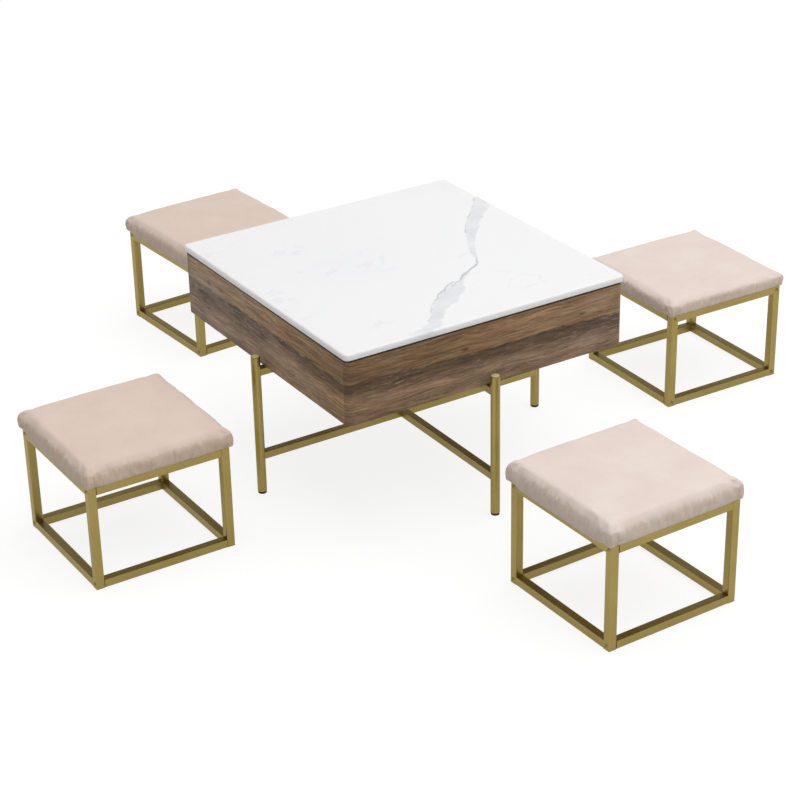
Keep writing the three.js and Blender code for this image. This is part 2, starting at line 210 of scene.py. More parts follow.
def block(low, high):
    form = bmesh.new()
    bmesh.ops.create_cube(form, size=1)
    size = Vector(high) - Vector(low)
    bmesh.ops.scale(form, vec=size, verts=form.verts)
    bmesh.ops.translate(form, vec=(Vector(high) + Vector(low)) / 2, verts=form.verts)
    return form


def round_off(form, edges, radius, segments):
    bmesh.ops.bevel(
        form, geom=edges, offset=radius, segments=segments, profile=0.5, affect="EDGES", material=-1
    )


def upright(edge):
    a, b = edge.verts
    return abs(a.co.x - b.co.x) + abs(a.co.y - b.co.y) < 1e-6


def shade(form):
    """Flat faces stay flat, and the rounded edges between them are smooth."""
    form.normal_update()
    for face in form.faces:
        face.smooth = max(abs(part) for part in face.normal) < 0.9999


slab_low, slab_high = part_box("table_top")
middle = (slab_low + slab_high) / 2
box_low, box_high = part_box("box_front_panel")
box_high.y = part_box("box_back_panel")[1].y
box_height = box_high.z - box_low.z
corner_round = 0.0149
board_ease = 0.0006
# The height band just under the boards' rim that is darkened as a painted shadow of the gap under the slab
gap_shadow_band = (box_height - 0.0026, box_height - 0.0018)

# Knots in the printed planks, from the box's lowest corner
knots = (
    (0.627, 0, 0.108), (0.308, 0, 0.104), (0, 0.626, 0.115), (0, 0.232, 0.034), (0.745, 0.214, 0.118),
    (0.745, 0.585, 0.052), (0.212, 0.745, 0.046), (0.561, 0.745, 0.112),
)
knot_reach = (0.046, 0.046, 0.015)
# Joints between the printed boards: how they climb across and along the box, and where they start,
# as shares of its height from the top
upper_joint_line = (0.13, -0.02, 0.37)
lower_joint_line = (0.27, 0.13, 0.53)


def plank_print(name, near_light_tint, far_light_tint):
    """The printed planks: a light board above, a dark one in the middle and a mid one below, under painted
    light and shade.
    """
    wood = Finish(name, Specular_IOR_Level=0.35)
    place = wood.place((-box_low.x, -box_low.y, -box_low.z))
    x, y, z = wood.parts(place)
    slow = wood.centred(wood.speckle(wood.stretch(place, (3.2, 3.2, 6)), detail=3))
    swirl = wood.centred(wood.speckle(wood.stretch(place, (6, 6, 22)), detail=2))
    fray = wood.centred(wood.speckle(wood.stretch(place, (22, 22, 190)), detail=4, roughness=0.65))
    down = wood.sum("SUBTRACT", 1.0, wood.sum("DIVIDE", z, box_height))
    wander = wood.sum("MULTIPLY_ADD", slow, 0.14, wood.sum("MULTIPLY", fray, 0.2))
    line = wood.sum("ADD", down, wander)
    past_joints = []
    for climb_across, climb_along, start in (upper_joint_line, lower_joint_line):
        joint = wood.sum("MULTIPLY_ADD", x, climb_across, wood.sum("MULTIPLY_ADD", y, climb_along, start))
        past_joints.append(wood.sum("SUBTRACT", line, joint))
    under_upper, under_lower = past_joints
    below_upper = wood.spread(under_upper, -0.01, 0.016)
    below_lower = wood.spread(under_lower, -0.08, 0.1)
    # Grain: fibres run level round the box, drawn out along it, pulled about by the swirls, and
    # parting round each knot
    pulled_z = wood.sum("MULTIPLY_ADD", swirl, 0.024, z)
    knot_cores = 0.0
    for knot in knots:
        apart = wood.apart(place, knot, knot_reach)
        above = wood.sum("SUBTRACT", z, knot[2])
        bend = wood.sum("MULTIPLY", above, wood.spread(apart, 0.1, 1.0, -0.7, 0.0, True))
        pulled_z = wood.sum("ADD", pulled_z, bend)
        core = wood.spread(wood.sum("ADD", apart, swirl), 0.1, 0.34, 1, 0)
        knot_cores = wood.sum("MAXIMUM", knot_cores, core)
    pulled = wood.joined(x, y, pulled_z)
    fibre = wood.speckle(wood.stretch(pulled, (11, 11, 260)), detail=6, roughness=0.65, distortion=0.2)
    pores = wood.speckle(wood.stretch(pulled, (45, 45, 1100)), detail=3, roughness=0.6)
    figure = wood.speckle(wood.stretch(pulled, (5.5, 5.5, 66)), detail=6, roughness=0.62, distortion=0.6)
    fleck = wood.speckle(wood.stretch(pulled, (34, 34, 360)), detail=4, roughness=0.6)
    patches = wood.speckle(wood.stretch(place, (5, 5, 14)), detail=2)
    stain = wood.speckle(wood.stretch(place, (9, 9, 34)), detail=3, roughness=0.6)
    figured = wood.spread(figure, 0.33, 0.67)
    light_board = wood.mixed(figured, colour(165, 129, 96), colour(232, 196, 155))
    # Painted shade: the light board is darkened toward the box's near corner
    from_corner = wood.apart(place, (0, 0, 0), (0.5, 0.5, 100))
    light_board = wood.darkened(wood.spread(from_corner, 0.1, 1.0, 0.34, 0.03, True), light_board)
    dark_board = wood.mixed(figured, colour(103, 82, 65), colour(163, 136, 112))
    mid_board = wood.mixed(figured, colour(153, 123, 104), colour(225, 194, 169))
    foot_board = wood.mixed(figured, colour(141, 111, 91), colour(204, 171, 147))
    mid_board = wood.mixed(wood.spread(down, 0.78, 1.0), mid_board, foot_board)
    boards = wood.mixed(below_lower, dark_board, mid_board)
    boards = wood.mixed(below_upper, light_board, boards)
    joint_shade = wood.sum("MULTIPLY", wood.spread(under_upper, 0.12, 0.02), below_upper)
    boards = wood.darkened(wood.sum("MULTIPLY", joint_shade, 0.35), boards)
    stained = wood.mixed(wood.spread(stain, 0.35, 0.65), colour(255, 243, 236), colour(246, 250, 232))
    boards = wood.mixed(0.8, boards, stained, "MULTIPLY")
    streaked = wood.darkened(wood.spread(fibre, 0.62, 0.36, 0, 0.55), boards)
    pored = wood.darkened(wood.spread(pores, 0.46, 0.34, 0, 0.4), streaked)
    knotted = wood.darkened(wood.sum("MULTIPLY", knot_cores, 0.75), pored)
    in_patches = wood.spread(patches, 0.35, 0.6, 0.1, 0.65)
    fleck_share = wood.sum("MULTIPLY", wood.spread(fleck, 0.54, 0.68), in_patches)
    flecked = wood.mixed(fleck_share, knotted, colour(214, 192, 168))
    bleached = wood.mixed(wood.spread(patches, 0.5, 0.8, 0, 0.3), flecked, colour(196, 180, 166))
    # Painted shadow: a dark band along the top rim stands in for the shadow gap under the slab
    gap_shadowed = wood.darkened(wood.spread(z, *gap_shadow_band, 0, 0.75), bleached)
    # Painted light and shade: this tint darkens and warms the print toward the box's near corner and lightens
    # it away from it
    tint = wood.mixed(wood.spread(from_corner, 0.1, 1.1), near_light_tint, far_light_tint)
    wood.set("Base Color", wood.mixed(1.0, gap_shadowed, tint, "MULTIPLY"))
    wood.set("Roughness", wood.spread(fibre, 0.3, 0.7, 0.62, 0.5))
    wood.raised(wood.mixed(0.4, fibre, pores), 0.0003, 0.5)
    return wood


# Painted lit and shaded copies of one print: the front and back boards get the darker warm tint, the side
# boards a brighter, greyer tint as painted light and painted skylight reflection
plank_shaded_copy = plank_print("plank_print_shaded_copy", colour(223, 215, 200), colour(228, 222, 215))
plank_lit_copy = plank_print("plank_print_lit_copy", colour(250, 243, 216), colour(250, 250, 254))

for side, finish in (("front", plank_shaded_copy), ("back", plank_shaded_copy), ("left", plank_lit_copy), ("right", plank_lit_copy)):
    node = f"box_{side}_panel"
    low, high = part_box(node)
    panel = block(low, high)
    if side in ("front", "back"):
        outer = low.y if side == "front" else high.y
        corners = [e for e in panel.edges if upright(e) and abs(e.verts[0].co.y - outer) < 1e-6]
        round_off(panel, corners, corner_round, 10)
    rims = [e for e in panel.edges if abs(e.verts[0].co.z - e.verts[1].co.z) < 1e-6]
    round_off(panel, rims, board_ease, 2)
    shade(panel)
    piece(node.replace("_panel", "_board"), panel, finish, "wood_grain", node)

lining = Finish("box_lining", Roughness=0.6, Specular_IOR_Level=0.35)
lining_place = lining.place()
lining_fibre = lining.speckle(lining.stretch(lining_place, (8, 190, 60)), detail=6, roughness=0.65)
lining_drawn = lining.stretch(lining_place, (3, 42, 20))
lining_figure = lining.speckle(lining_drawn, detail=5, roughness=0.6, distortion=0.5)
lined = lining.mixed(lining.spread(lining_figure, 0.33, 0.67), colour(112, 92, 78), colour(158, 136, 118))
lining.set("Base Color", lining.darkened(lining.spread(lining_fibre, 0.62, 0.36, 0, 0.45), lined))
lining.raised(lining_fibre, 0.0003, 0.4)
finish_node("box_floor", lining)

# Legs: four round steel tubes, one outside the middle of each side, painted a satin gold. Each is
# closed on top with a low welded cap, whose paler, matt gold is a painted highlight, and stands on a moulded
# plastic foot.


def gold_paint(name):
    """Metallic gold paint: fine flake, a slight orange peel, and a duller bloom here and there."""
    gold = Finish(name, Metallic=1.0)
    place = gold.place()
    bloom = gold.speckle(place, 14, 3)
    flake = gold.speckle(place, 2600, 1)
    peel = gold.speckle(place, 420, 2)
    base = gold.mixed(gold.spread(bloom, 0.3, 0.7), colour(161, 141, 77), colour(173, 153, 89))
    gold.set("Base Color", gold.mixed(gold.spread(flake, 0.3, 0.7, 0, 0.35), base, colour(192, 172, 112)))
    gold.set("Roughness", gold.spread(bloom, 0.3, 0.7, 0.3, 0.4))
    gold.raised(gold.mixed(0.3, peel, flake), 0.0002, 0.25)
    return gold


gold = gold_paint("gold_paint")
# Painted highlight: the cap's paler gold stands in for the light from above caught on the cap
cap_painted_highlight = Finish("cap_painted_highlight", Roughness=0.45, Specular_IOR_Level=0.5)
cap_grain = cap_painted_highlight.speckle(cap_painted_highlight.place(), 800, 2)
cap_painted_highlight.set("Base Color", cap_painted_highlight.mixed(cap_grain, colour(192, 174, 122), colour(216, 200, 156)))
cap_painted_highlight.raised(cap_grain, 0.0001, 0.3)
black_plastic = Finish("black_plastic", Roughness=0.5, Specular_IOR_Level=0.4)
plastic_grain = black_plastic.speckle(black_plastic.place(), 900, 2)
black_plastic.set("Base Color", black_plastic.mixed(plastic_grain, colour(16, 16, 17), colour(30, 30, 31)))
black_plastic.raised(plastic_grain, 0.0001, 0.4)


def turned(profile, centre, steps):
    """A solid of revolution about an upright axis, from (radius, height) points."""
    form = bmesh.new()
    points = [form.verts.new((radius, 0, height)) for radius, height in profile]
    edges = [form.edges.new(pair) for pair in zip(points, points[1:])]
    bmesh.ops.spin(
        form, geom=points + edges, cent=(0, 0, 0), axis=(0, 0, 1), angle=math.tau, steps=steps, use_merge=True
    )
    bmesh.ops.remove_doubles(form, verts=form.verts, dist=1e-6)
    bmesh.ops.recalc_face_normals(form, faces=form.faces)
    bmesh.ops.translate(form, vec=centre, verts=form.verts)
    for face in form.faces:
        face.smooth = True
    for edge in form.edges:
        edge.smooth = edge.calc_face_angle(0) < math.radians(40)
    return form


def rounded_rim(radius, height, rim, down=False, steps=4):
    """Points round a quarter circle at a rim, from its side to its top."""
    points = []
    for step in range(steps + 1):
        turn = math.pi / 2 * step / steps
        rise = rim * math.sin(turn) - rim
        points.append((radius - rim + rim * math.cos(turn), height + (-rise if down else rise)))
    return points


tube_wall = 0.0015
cap_thickness = 0.0045
cap_dome = 0.0022
cap_rings = (0.75, 0.6, 0.45, 0.3, 0.15, 0)
leg_rim = 0.0014
foot_rim = 0.0014
foot_height = 0.006
foot_play = 0.0003
for side in ("front", "back", "left", "right"):
    low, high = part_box(f"{side}_leg")
    centre = Vector(((low.x + high.x) / 2, (low.y + high.y) / 2, 0))
    radius = (high.y - low.y) / 2
    bore = radius - tube_wall
    profile = [(0, high.z - cap_thickness), (bore, high.z - cap_thickness), (bore, low.z), (radius, low.z)]
    profile += rounded_rim(radius, high.z - cap_dome, leg_rim)
    profile += [(radius * share, high.z - cap_dome * share ** 2) for share in cap_rings]
    leg = piece(f"{side}_leg_tube", turned(profile, centre, 64), gold, "gold_paint", f"{side}_leg")
    # The dome of each cap gets the painted highlight
    leg.data.materials.append(cap_painted_highlight.material)
    for face in leg.data.polygons:
        if face.center.z > high.z - cap_dome:
            face.material_index = 1
    low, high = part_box(f"{side}_foot")
    radius = (high.y - low.y) / 2
    stem = bore - foot_play
    profile = [(0, 0)] + rounded_rim(radius, 0, foot_rim, down=True)[::-1]
    profile += [(radius, foot_height), (stem, foot_height), (stem, high.z), (0, high.z)]
    piece(f"{side}_foot_plug", turned(profile, centre, 48), black_plastic, "black_plastic", f"{side}_foot")

# Crosses: two pairs of square tubes, each pair welded into a cross and painted gold with the legs.
# One runs from leg to leg below the ottoman seats' height, the other carries the box.
for node in ("lower_cross", "upper_cross"):
    finish_node(node, gold)

# Lift mechanism: a pressed plate on each side wall, two flat arms on riveted pins and a steel angle
# under the top, all painted black. A wound extension spring hooks on the front arm's stud and on the
# plate's post, and pan-head screws hold the plates and angles.
lift_steel = Finish("lift_steel", Metallic=0.6)
steel_place = lift_steel.place()
steel_wear = lift_steel.speckle(steel_place, 60, 4, 0.6)
worn = lift_steel.spread(steel_wear, 0.55, 0.75)
lift_steel.set("Base Color", lift_steel.mixed(worn, colour(34, 35, 37), colour(74, 76, 78)))
lift_steel.set("Roughness", lift_steel.spread(steel_wear, 0.3, 0.7, 0.42, 0.6))
lift_steel.raised(lift_steel.speckle(steel_place, 700, 2), 0.0001, 0.4)
bright_steel = Finish("bright_steel", Metallic=1.0)
bright_wear = bright_steel.speckle(bright_steel.place(), 240, 3)
bright_steel.set("Base Color", bright_steel.mixed(bright_wear, colour(150, 152, 154), colour(196, 198, 200)))
bright_steel.set("Roughness", bright_steel.spread(bright_wear, 0.3, 0.7, 0.25, 0.4))

wire_radius = 0.0011
wire_sides = 8
coil_pitch = 0.0031
coil_steps = 14
hook_steps = 24
hook_reach = 0.0043
stud_clear = 0.0064
for side in ("left", "right"):
    for part in ("base_plate", "front_arm", "rear_arm", "top_bracket"):
        finish_node(f"{side}_lift_{part}", lift_steel)
    low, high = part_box(f"{side}_lift_spring")
    axis_x = (low.x + high.x) / 2
    axis_z = (low.z + high.z) / 2
    coil_radius = (high.z - low.z) / 2 - wire_radius
    stud_y = low.y - hook_reach
    post_y = high.y + hook_reach
    start_y = stud_y + stud_clear
    coil_length = post_y - stud_y - stud_clear * 2
    turns = int(coil_length / coil_pitch)
    pitch = coil_length / turns
    spring = bmesh.new()
    wire = bmesh.ops.create_circle(spring, radius=wire_radius, segments=wire_sides)["verts"]
    bmesh.ops.rotate(spring, verts=wire, cent=(0, 0, 0), matrix=Matrix.Rotation(math.pi / 2, 3, "Y"))
    bmesh.ops.translate(spring, verts=wire, vec=(axis_x, start_y, axis_z + coil_radius))
    bmesh.ops.spin(
        spring, geom=wire + list(spring.edges), cent=(axis_x, start_y, axis_z), axis=(0, 1, 0),
        dvec=(0, pitch / coil_steps, 0), angle=math.tau * turns, steps=turns * coil_steps,
    )
    for loop_y in (stud_y, post_y):
        known = set(spring.verts)
        ring = bmesh.ops.create_circle(spring, radius=wire_radius, segments=wire_sides)["verts"]
        bmesh.ops.translate(spring, verts=ring, vec=(axis_x, loop_y + stud_clear, axis_z))
        edges = [e for e in spring.edges if e.verts[0] not in known]
        bmesh.ops.spin(
            spring, geom=ring + edges, cent=(axis_x, loop_y, axis_z), axis=(1, 0, 0),
            angle=math.tau, steps=hook_steps, use_merge=True,
        )
    bmesh.ops.holes_fill(spring, edges=[e for e in spring.edges if e.is_boundary], sides=0)
    bmesh.ops.recalc_face_normals(spring, faces=spring.faces)
    for face in spring.faces:
        face.smooth = True
    coil = piece(f"{side}_lift_coil", spring, bright_steel, "spring_steel", f"{side}_lift_spring")
    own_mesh(coil)

# A pan head's outline, from the bottom of its socket out to its rim
screw_profile = [
    (0, 0.0006), (0.0014, 0.0006), (0.0016, 0.0022), (0.0030, 0.0019), (0.0043, 0.0010), (0.0046, 0), (0, 0),
]


def screw_head(form, spot, direction, profile, steps=20):
    """A head with a round socket, standing on a face, added to a form of several."""
    head = turned(profile, (0, 0, 0), steps)
    turn = Vector((0, 0, 1)).rotation_difference(Vector(direction)).to_matrix().to_4x4()
    bmesh.ops.transform(head, matrix=Matrix.Translation(spot) @ turn, verts=head.verts)
    mesh = bpy.data.meshes.new("head")
    head.to_mesh(mesh)
    head.free()
    form.from_mesh(mesh)
    bpy.data.meshes.remove(mesh)


plate_face = 0.0033
plate_screw_height = 0.060
plate_screw_rise = 0.014
plate_screw_ends = (-0.090, 0.020)
flange_middle = 0.030
flange_thickness = 0.003
flange_screw_inset = 0.022
for side, inward in (("left", 1), ("right", -1)):
    wall_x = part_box("box_left_panel")[1].x if side == "left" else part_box("box_right_panel")[0].x
    face_x = wall_x + inward * plate_face
    heads = bmesh.new()
    mid_z = box_low.z + plate_screw_height
    for end in plate_screw_ends:
        for rise in (-plate_screw_rise, plate_screw_rise):
            screw_head(heads, (face_x, middle.y + end, mid_z + rise), (inward, 0, 0), screw_profile)
    piece(f"{side}_plate_screws", heads, bright_steel, "spring_steel", body="table")
    low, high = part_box(f"{side}_lift_top_bracket")
    heads = bmesh.new()
    flange_x = wall_x + inward * flange_middle
    for y in (low.y + flange_screw_inset, (low.y + high.y) / 2, high.y - flange_screw_inset):
        screw_head(heads, (flange_x, y, high.z - flange_thickness), (0, 0, -1), screw_profile)
    piece(f"{side}_bracket_screws", heads, bright_steel, "spring_steel", body="lift_top")

# Table top: one slab of fibreboard with small rounded corners and softened edges, faced all round with
# a glossy white laminate. Its print has soft grey veins, the main one with a darker, broken outline.
slab_corner = 0.012
slab_ease_top = 0.0040
slab_ease_under = 0.0015
slab = block(slab_low, slab_high)
round_off(slab, [e for e in slab.edges if upright(e)], slab_corner, 12)
rims = [e for e in slab.edges if min(v.co.z for v in e.verts) > slab_high.z - 1e-6]
round_off(slab, rims, slab_ease_top, 6)
rims = [e for e in slab.edges if max(v.co.z for v in e.verts) < slab_low.z + 1e-6]
round_off(slab, rims, slab_ease_under, 3)
shade(slab)

marble = Finish(
    "white_marble", Roughness=0.28, Specular_IOR_Level=0.5, Subsurface_Weight=0.5, Subsurface_Scale=0.012
)
marble.set("Subsurface Radius", (1, 1, 1))
# Where a point lies as shares of the slab's width; the print is cut at this level of its pattern
slab_size = slab_high.x - slab_low.x
pattern_level = 0.504
share = marble.place((-slab_low.x, -slab_low.y, pattern_level - slab_high.z), [1 / slab_size] * 3)
slow = marble.speckle(share, 5, 3)
quick = marble.speckle(share, 26, 4, 0.6)
across, along, _ = marble.parts(share)
quick_wobble = marble.sum("MULTIPLY", marble.centred(quick), 0.04)
wobble = marble.sum("MULTIPLY_ADD", marble.centred(slow), 0.03, quick_wobble)


def inside_share(distance, half_width):
    """How far into a vein a point lies: 1 on its middle line and 0 at its edge."""
    half_width = marble.sum("MAXIMUM", half_width, 0.0005)
    return marble.sum("SUBTRACT", 1.0, marble.sum("DIVIDE", distance, half_width))


# The main vein, from the front edge to the right edge: its place along for each place across, and
# how wide it is there
vein_line = (
    (0.0, 0.0), (0.22, 0.0), (0.297, 0.017), (0.415, 0.136), (0.531, 0.222), (0.607, 0.292), (0.684, 0.345),
    (0.713, 0.407), (0.751, 0.473), (0.869, 0.627), (0.94, 0.703), (1.0, 0.773),
)
vein_width = (
    (0.0, 0.5), (0.22, 0.55), (0.30, 0.6), (0.415, 0.8), (0.50, 0.86), (0.545, 0.6), (0.60, 0.18),
    (0.684, 0.12), (0.713, 0.34), (0.751, 0.52), (0.869, 0.7), (0.94, 0.8), (1.0, 1.0),
)
line = marble.curve(across, vein_line)
widest_vein = 0.05
width = marble.sum("MULTIPLY", marble.curve(across, vein_width), widest_vein)
off_line = marble.sum("SUBTRACT", marble.sum("ADD", along, wobble), line)
main = inside_share(marble.sum("ABSOLUTE", off_line), width)
ragged = marble.spread(marble.speckle(share, 34, 4, 0.65), 0.3, 0.7, -0.16, 0.16)
body_share = marble.spread(marble.sum("ADD", main, ragged), 0.0, 0.3, smooth=True)
cloudy = marble.spread(marble.speckle(share, 12, 4, 0.6), 0.3, 0.62, 0.45, 1.0)
begun = marble.spread(across, 0.2, 0.26)
body_share = marble.sum("MULTIPLY", marble.sum("MULTIPLY", body_share, cloudy), begun)
rim_share = marble.sum("MULTIPLY", marble.spread(main, -0.08, 0.04), marble.spread(main, 0.24, 0.06))
rim_share = marble.sum("MULTIPLY", rim_share, begun)
broken = marble.spread(marble.speckle(share, 17, 3), 0.42, 0.58)
one_sided = marble.spread(marble.sum("MULTIPLY", off_line, 60), -1, 1, 0.35, 1.0)
rim_share = marble.sum("MULTIPLY", marble.sum("MULTIPLY", rim_share, broken), one_sided)
# The thin dark thread that runs down its upper side where the vein is pinched
thread_off = marble.sum("ABSOLUTE", marble.sum("SUBTRACT", off_line, marble.sum("MULTIPLY", width, 0.5)))
pinch = marble.sum("MULTIPLY", marble.spread(across, 0.50, 0.55), marble.spread(across, 0.72, 0.68))
pinch_share = marble.sum("MULTIPLY", inside_share(thread_off, 0.006), pinch)
# Faint short veins near the left edge and the front corner, and soft clouds
faint = marble.speckle(marble.stretch(share, (1.0, 2.2, 1.0)), 2.6, 6, 0.55, 0.9)
thread = marble.sum("ABSOLUTE", marble.centred(faint))
thread_share = marble.sum("MULTIPLY", marble.spread(thread, 0.012, 0.0), marble.spread(slow, 0.52, 0.66))
wisps = 0.0
for spot, reach in (
    ((0.04, 0.86, 0), (0.05, 0.03, 1)), ((0.045, 0.45, 0), (0.05, 0.12, 1)),
    ((0.195, 0.13, 0), (0.07, 0.03, 1)), ((0.25, 0.75, 0), (0.08, 0.06, 1)),
):
    near = marble.spread(marble.apart(marble.joined(across, along, 0.0), spot, reach), 1.0, 0.2)
    wisps = marble.sum("MAXIMUM", wisps, near)
wisps = marble.sum("MULTIPLY", wisps, marble.spread(quick, 0.47, 0.62))
cloud = marble.spread(marble.speckle(share, 2.1, 3), 0.45, 0.8)
white = marble.mixed(cloud, colour(249, 249, 251), colour(244, 244, 247))
veined = marble.mixed(marble.sum("MULTIPLY", body_share, 0.9), white, colour(226, 227, 230))
veined = marble.mixed(marble.sum("MULTIPLY", rim_share, 0.8), veined, colour(184, 186, 190))
veined = marble.mixed(marble.sum("MULTIPLY", pinch_share, 0.8), veined, colour(176, 178, 182))
veined = marble.mixed(marble.sum("MULTIPLY", wisps, 0.42), veined, colour(214, 213, 220))
veined = marble.mixed(marble.sum("MULTIPLY", thread_share, 0.2), veined, colour(196, 197, 200))
marble.set("Base Color", veined)
piece("marble_slab", slab, marble, "marble_top", "table_top")

# Ottoman frames: square steel tube, painted gold. Each has two welded side frames, held together by
# four cross rails that are drawn up with button-head bolts through the posts.
# How far each stands turned, in degrees
stools = {"left_stool": 0.0, "front_stool": 1.2, "right_stool": 88.9, "back_stool": 3.4}
stool_half = 0.172
tube = 0.020
stool_high = 0.251
# A button head's outline, from the bottom of its socket out to its rim
bolt_profile = [
    (0, 0.0004), (0.0016, 0.0004), (0.0018, 0.0022), (0.0030, 0.0020), (0.0041, 0.0013), (0.0047, 0.0003),
    (0.0047, 0), (0, 0),
]
frame_parts = (
    "left_frame", "right_frame", "front_bottom_rail", "front_top_rail", "back_bottom_rail", "back_top_rail",
)


def stool_place(name):
    """From an ottoman's own middle on the floor to where it stands."""
    low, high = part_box(f"{name}_cushion")
    centre = (low + high) / 2
    return Matrix.Translation((centre.x, centre.y, 0)) @ Matrix.Rotation(math.radians(stools[name]), 4, "Z")


for name in stools:
    for part in frame_parts:
        finish_node(f"{name}_{part}", gold)
    bolts = bmesh.new()
    reach = stool_half - tube / 2
    for outward in (-1, 1):
        for y in (-reach, reach):
            for z in (tube / 2, stool_high - tube / 2):
                screw_head(bolts, (outward * stool_half, y, z), (outward, 0, 0), bolt_profile, 24)
    bmesh.ops.transform(bolts, matrix=stool_place(name), verts=bolts.verts)
    piece(f"{name}_bolts", bolts, gold, "gold_paint", body=name)

# Ottoman seats: a plywood board under each cushion, and a foam pad with a soft brushed cover pulled
# over it. The cover is folded into one upright tuck at each corner and puckers a little on the sides.
plywood = Finish("plywood", Roughness=0.75)
ply_place = plywood.place()
ply_grain = plywood.speckle(plywood.stretch(ply_place, (10, 160, 900)), detail=5, roughness=0.6)
plywood.set("Base Color", plywood.mixed(ply_grain, colour(160, 128, 92), colour(204, 176, 136)))
plywood.raised(ply_grain, 0.0003, 0.5)
for name in stools:
    finish_node(f"{name}_seat_board", plywood)

pad_half = 0.1802
pad_bottom = 0.2513
pad_side = 0.0450
pad_corner = 0.010
pad_shoulder = 0.021
held_height = 0.002
voxel = 0.0042
pressure_steps = 20
move_share = 0.6
swell = 0.0025
give = 0.0015


def applied(thing):
    """The object's mesh with its modifiers in it."""
    bpy.context.view_layer.update()
    drawn = thing.evaluated_get(bpy.context.evaluated_depsgraph_get())
    mesh = bpy.data.meshes.new_from_object(drawn)
    thing.modifiers.clear()
    thing.data = mesh
    return mesh


def stuffed_pad():
    """The pad as it lies on its board, about the ottoman's own middle."""
    form = block((-pad_half, -pad_half, pad_bottom), (pad_half, pad_half, pad_bottom + pad_side))
    round_off(form, [e for e in form.edges if upright(e)], pad_corner, 8)
    top = [e for e in form.edges if min(v.co.z for v in e.verts) > pad_bottom + pad_side - 1e-6]
    round_off(form, top, pad_shoulder, 5)
    mesh = bpy.data.meshes.new("pad")
    form.to_mesh(mesh)
    form.free()
    pad = bpy.data.objects.new("pad", mesh)
    bpy.context.scene.collection.objects.link(pad)
    remesh = pad.modifiers.new("remesh", "REMESH")
    remesh.mode = "VOXEL"
    remesh.voxel_size = voxel
    applied(pad)
    rest = [v.co.copy() for v in pad.data.vertices]
    held = pad.vertex_groups.new(name="held")
    below = [
        v.index for v in pad.data.vertices
        if v.co.z < pad_bottom + held_height and max(abs(v.co.x), abs(v.co.y)) < stool_half
    ]
    held.add(below, 1.0, "REPLACE")
    cloth = pad.modifiers.new("cover", "CLOTH")
    cloth.settings.quality = 6
    cloth.settings.mass = 0.3
    cloth.settings.vertex_group_mass = "held"
    cloth.settings.use_pressure = True
    cloth.settings.uniform_pressure_force = 4
    cloth.settings.effector_weights.gravity = 0
    cloth.point_cache.frame_start = 1
    cloth.point_cache.frame_end = pressure_steps
    for step in range(1, pressure_steps + 1):
        bpy.context.scene.frame_set(step)
    applied(pad)
    bpy.context.scene.frame_set(1)
    # A share of the move is kept, and no more than the cover's give
    for vertex, start in zip(pad.data.vertices, rest):
        move = (vertex.co - start) * move_share
        outward = Vector((start.x, start.y, 0)).normalized()
        out = move.dot(outward)
        move += outward * (min(max(out, -give), give) - out)
        move.z = min(max(move.z, -give), swell)
        vertex.co = start + move
    finer = pad.modifiers.new("finer", "SUBSURF")
    finer.levels = finer.render_levels = 1
    mesh = applied(pad)
    bpy.data.objects.remove(pad)
    return mesh


frame_clear = 0.0008
board_half = 0.165
pocket_clear = 0.0005
pocket_half = board_half + pocket_clear
pocket_top = pad_bottom + 0.0126
fine_from = 0.150
crown = 0.0034
corner_drop = 0.0034
dent_depth = 0.0016
bulge = 0.0016
fold_depth = 0.0028
crimp_depth = 0.0030
fold_waves, crimp_place_waves, crimp_waves, dent_waves = 24, 34, 118, 9
tuck_side = pad_half - 0.012
tuck_rise = 0.0014
tuck_edge = (0.0190, 0.0172)
groove_place = 0.0200
groove_depth = 0.0024
groove_width = 0.0018
crease_depth = 0.0016
crease_width = 0.0016
ear_out = 0.0012
ear_up = 0.0006
flat_below = 0.001
rim_merge = 0.0004
hem_height = 0.016
hem_ends = (0.155, 0.12)
hem_edge = 0.003
pad_mesh = stuffed_pad()


def smooth_step(value, low, high):
    share = min(max((value - low) / (high - low), 0), 1)
    return share * share * (3 - 2 * share)


